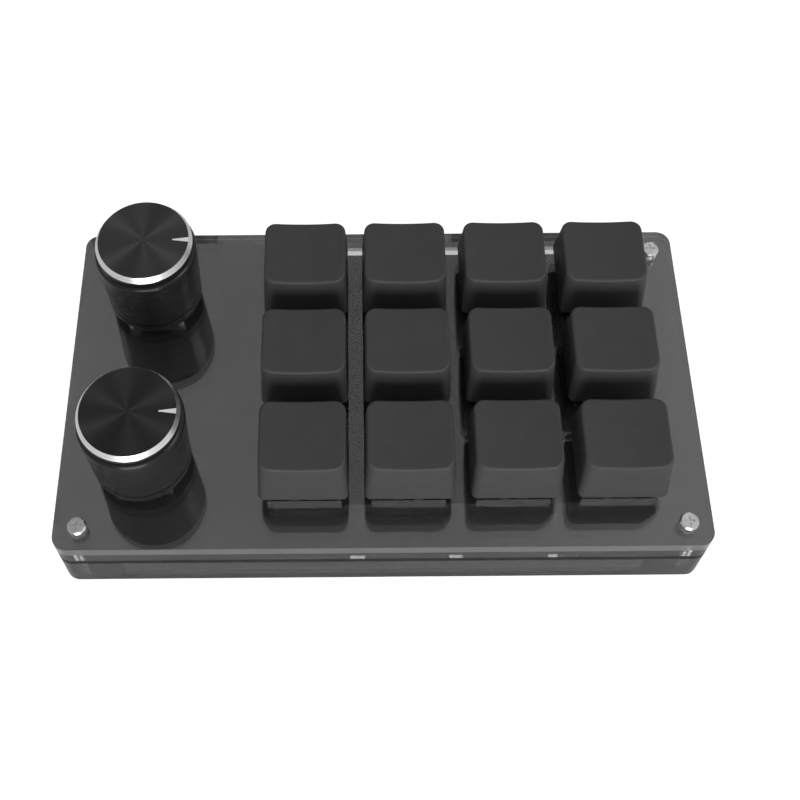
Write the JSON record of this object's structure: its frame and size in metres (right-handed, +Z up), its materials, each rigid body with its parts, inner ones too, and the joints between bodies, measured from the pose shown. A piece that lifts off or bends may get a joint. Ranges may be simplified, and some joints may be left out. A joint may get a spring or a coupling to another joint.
{
  "type": "macro keypad with knobs",
  "caption": "Desk macro keypad: a grid of blank key switches and push-and-turn knobs on a stacked smoked acrylic case.",
  "frame": {"origin": "on the desk, under the middle of the case", "axes": "+X to the right along the case's long side, with the knobs at -X; +Y to the back edge with the USB socket; +Z up"},
  "size_m": [0.1328, 0.0746, 0.0423],
  "materials": {
    "coated_acrylic": "polished cast sheet with a hard coat, dark grey and see-through",
    "smoked_acrylic": "polished cast sheet, dark grey and see-through",
    "circuit_board": "black solder mask on glass-fibre board",
    "screw_steel": "nickel plated",
    "standoff_metal": "nickel-plated turned metal",
    "foot_rubber": "soft and matt",
    "keycap_plastic": "fine-grained and matt, dark grey",
    "stem_plastic": "smooth moulded",
    "contact_metal": "plain strip",
    "switch_black": "smooth moulded, black",
    "switch_clear": "clear moulded",
    "spring_steel": "plain wire",
    "knob_black": "black anodised, satin",
    "knob_bright": "bright cut bevel",
    "knob_spun_black": "black anodised over a spun face",
    "moulded_black": "smooth moulded, black",
    "shaft_metal": "plain turned",
    "encoder_metal": "bright pressed sheet"
  },
  "bodies": {
    "case": {"top_plate": "coated_acrylic", "upper_frame": "smoked_acrylic", "board": "circuit_board", "lower_frame": "smoked_acrylic", "bottom_plate": "smoked_acrylic", "corner_screws": "screw_steel", "bottom_screws": "screw_steel", "standoffs": "standoff_metal", "rubber_feet": "foot_rubber", "switch_contacts": "contact_metal", "switch_lower_housings": "switch_black", "switch_upper_housings": "switch_clear", "switch_springs": "spring_steel", "encoder_cases": "encoder_metal", "encoder_bushings": "encoder_metal", "encoder_terminals": "contact_metal", "usb_shell": "encoder_metal", "usb_tongue": "moulded_black", "circuit_chips": "moulded_black"},
    "key_r1c1": {"keycap_r1c1": "keycap_plastic", "switch_stem_r1c1": "stem_plastic"},
    "key_r1c2": {"keycap_r1c2": "keycap_plastic", "switch_stem_r1c2": "stem_plastic"},
    "key_r1c3": {"keycap_r1c3": "keycap_plastic", "switch_stem_r1c3": "stem_plastic"},
    "key_r1c4": {"keycap_r1c4": "keycap_plastic", "switch_stem_r1c4": "stem_plastic"},
    "key_r2c1": {"keycap_r2c1": "keycap_plastic", "switch_stem_r2c1": "stem_plastic"},
    "key_r2c2": {"keycap_r2c2": "keycap_plastic", "switch_stem_r2c2": "stem_plastic"},
    "key_r2c3": {"keycap_r2c3": "keycap_plastic", "switch_stem_r2c3": "stem_plastic"},
    "key_r2c4": {"keycap_r2c4": "keycap_plastic", "switch_stem_r2c4": "stem_plastic"},
    "key_r3c1": {"keycap_r3c1": "keycap_plastic", "switch_stem_r3c1": "stem_plastic"},
    "key_r3c2": {"keycap_r3c2": "keycap_plastic", "switch_stem_r3c2": "stem_plastic"},
    "key_r3c3": {"keycap_r3c3": "keycap_plastic", "switch_stem_r3c3": "stem_plastic"},
    "key_r3c4": {"keycap_r3c4": "keycap_plastic", "switch_stem_r3c4": "stem_plastic"},
    "push_rear": {"encoder_plunger_rear": "moulded_black"},
    "knob_rear": {"encoder_shaft_rear": "shaft_metal", "encoder_rotor_rear": "moulded_black", "knob_core_rear": "moulded_black", "knob_shell_rear": "knob_black", "knob_ring_rear": "knob_bright", "knob_disc_rear": "knob_spun_black", "knob_pointer_rear": "knob_bright"},
    "push_front": {"encoder_plunger_front": "moulded_black"},
    "knob_front": {"encoder_shaft_front": "shaft_metal", "encoder_rotor_front": "moulded_black", "knob_core_front": "moulded_black", "knob_shell_front": "knob_black", "knob_ring_front": "knob_bright", "knob_disc_front": "knob_spun_black", "knob_pointer_front": "knob_bright"}
  },
  "joints": [
    {"name": "press_r1c1", "type": "slide", "parent": "case", "child": "key_r1c1", "axis": [0, 0, -1], "range_m": [0, 0.004], "stiffness_N_per_m": 75, "springref_m": -0.004, "deforming": ["switch_springs"]},
    {"name": "press_r1c2", "type": "slide", "parent": "case", "child": "key_r1c2", "axis": [0, 0, -1], "range_m": [0, 0.004], "stiffness_N_per_m": 75, "springref_m": -0.004, "deforming": ["switch_springs"]},
    {"name": "press_r1c3", "type": "slide", "parent": "case", "child": "key_r1c3", "axis": [0, 0, -1], "range_m": [0, 0.004], "stiffness_N_per_m": 75, "springref_m": -0.004, "deforming": ["switch_springs"]},
    {"name": "press_r1c4", "type": "slide", "parent": "case", "child": "key_r1c4", "axis": [0, 0, -1], "range_m": [0, 0.004], "stiffness_N_per_m": 75, "springref_m": -0.004, "deforming": ["switch_springs"]},
    {"name": "press_r2c1", "type": "slide", "parent": "case", "child": "key_r2c1", "axis": [0, 0, -1], "range_m": [0, 0.004], "stiffness_N_per_m": 75, "springref_m": -0.004, "deforming": ["switch_springs"]},
    {"name": "press_r2c2", "type": "slide", "parent": "case", "child": "key_r2c2", "axis": [0, 0, -1], "range_m": [0, 0.004], "stiffness_N_per_m": 75, "springref_m": -0.004, "deforming": ["switch_springs"]},
    {"name": "press_r2c3", "type": "slide", "parent": "case", "child": "key_r2c3", "axis": [0, 0, -1], "range_m": [0, 0.004], "stiffness_N_per_m": 75, "springref_m": -0.004, "deforming": ["switch_springs"]},
    {"name": "press_r2c4", "type": "slide", "parent": "case", "child": "key_r2c4", "axis": [0, 0, -1], "range_m": [0, 0.004], "stiffness_N_per_m": 75, "springref_m": -0.004, "deforming": ["switch_springs"]},
    {"name": "press_r3c1", "type": "slide", "parent": "case", "child": "key_r3c1", "axis": [0, 0, -1], "range_m": [0, 0.004], "stiffness_N_per_m": 75, "springref_m": -0.004, "deforming": ["switch_springs"]},
    {"name": "press_r3c2", "type": "slide", "parent": "case", "child": "key_r3c2", "axis": [0, 0, -1], "range_m": [0, 0.004], "stiffness_N_per_m": 75, "springref_m": -0.004, "deforming": ["switch_springs"]},
    {"name": "press_r3c3", "type": "slide", "parent": "case", "child": "key_r3c3", "axis": [0, 0, -1], "range_m": [0, 0.004], "stiffness_N_per_m": 75, "springref_m": -0.004, "deforming": ["switch_springs"]},
    {"name": "press_r3c4", "type": "slide", "parent": "case", "child": "key_r3c4", "axis": [0, 0, -1], "range_m": [0, 0.004], "stiffness_N_per_m": 75, "springref_m": -0.004, "deforming": ["switch_springs"]},
    {"name": "push_rear", "type": "slide", "parent": "case", "child": "push_rear", "axis": [0, 0, -1], "range_m": [0, 0.0005], "stiffness_N_per_m": 3000, "springref_m": -0.0008},
    {"name": "turn_rear", "type": "hinge", "parent": "push_rear", "child": "knob_rear", "pos_m": [-0.0492, 0.021, 0.0327], "axis": [0, 0, 1], "continuous": true},
    {"name": "push_front", "type": "slide", "parent": "case", "child": "push_front", "axis": [0, 0, -1], "range_m": [0, 0.0005], "stiffness_N_per_m": 3000, "springref_m": -0.0008},
    {"name": "turn_front", "type": "hinge", "parent": "push_front", "child": "knob_front", "pos_m": [-0.0492, -0.0182, 0.0327], "axis": [0, 0, 1], "continuous": true}
  ]
}
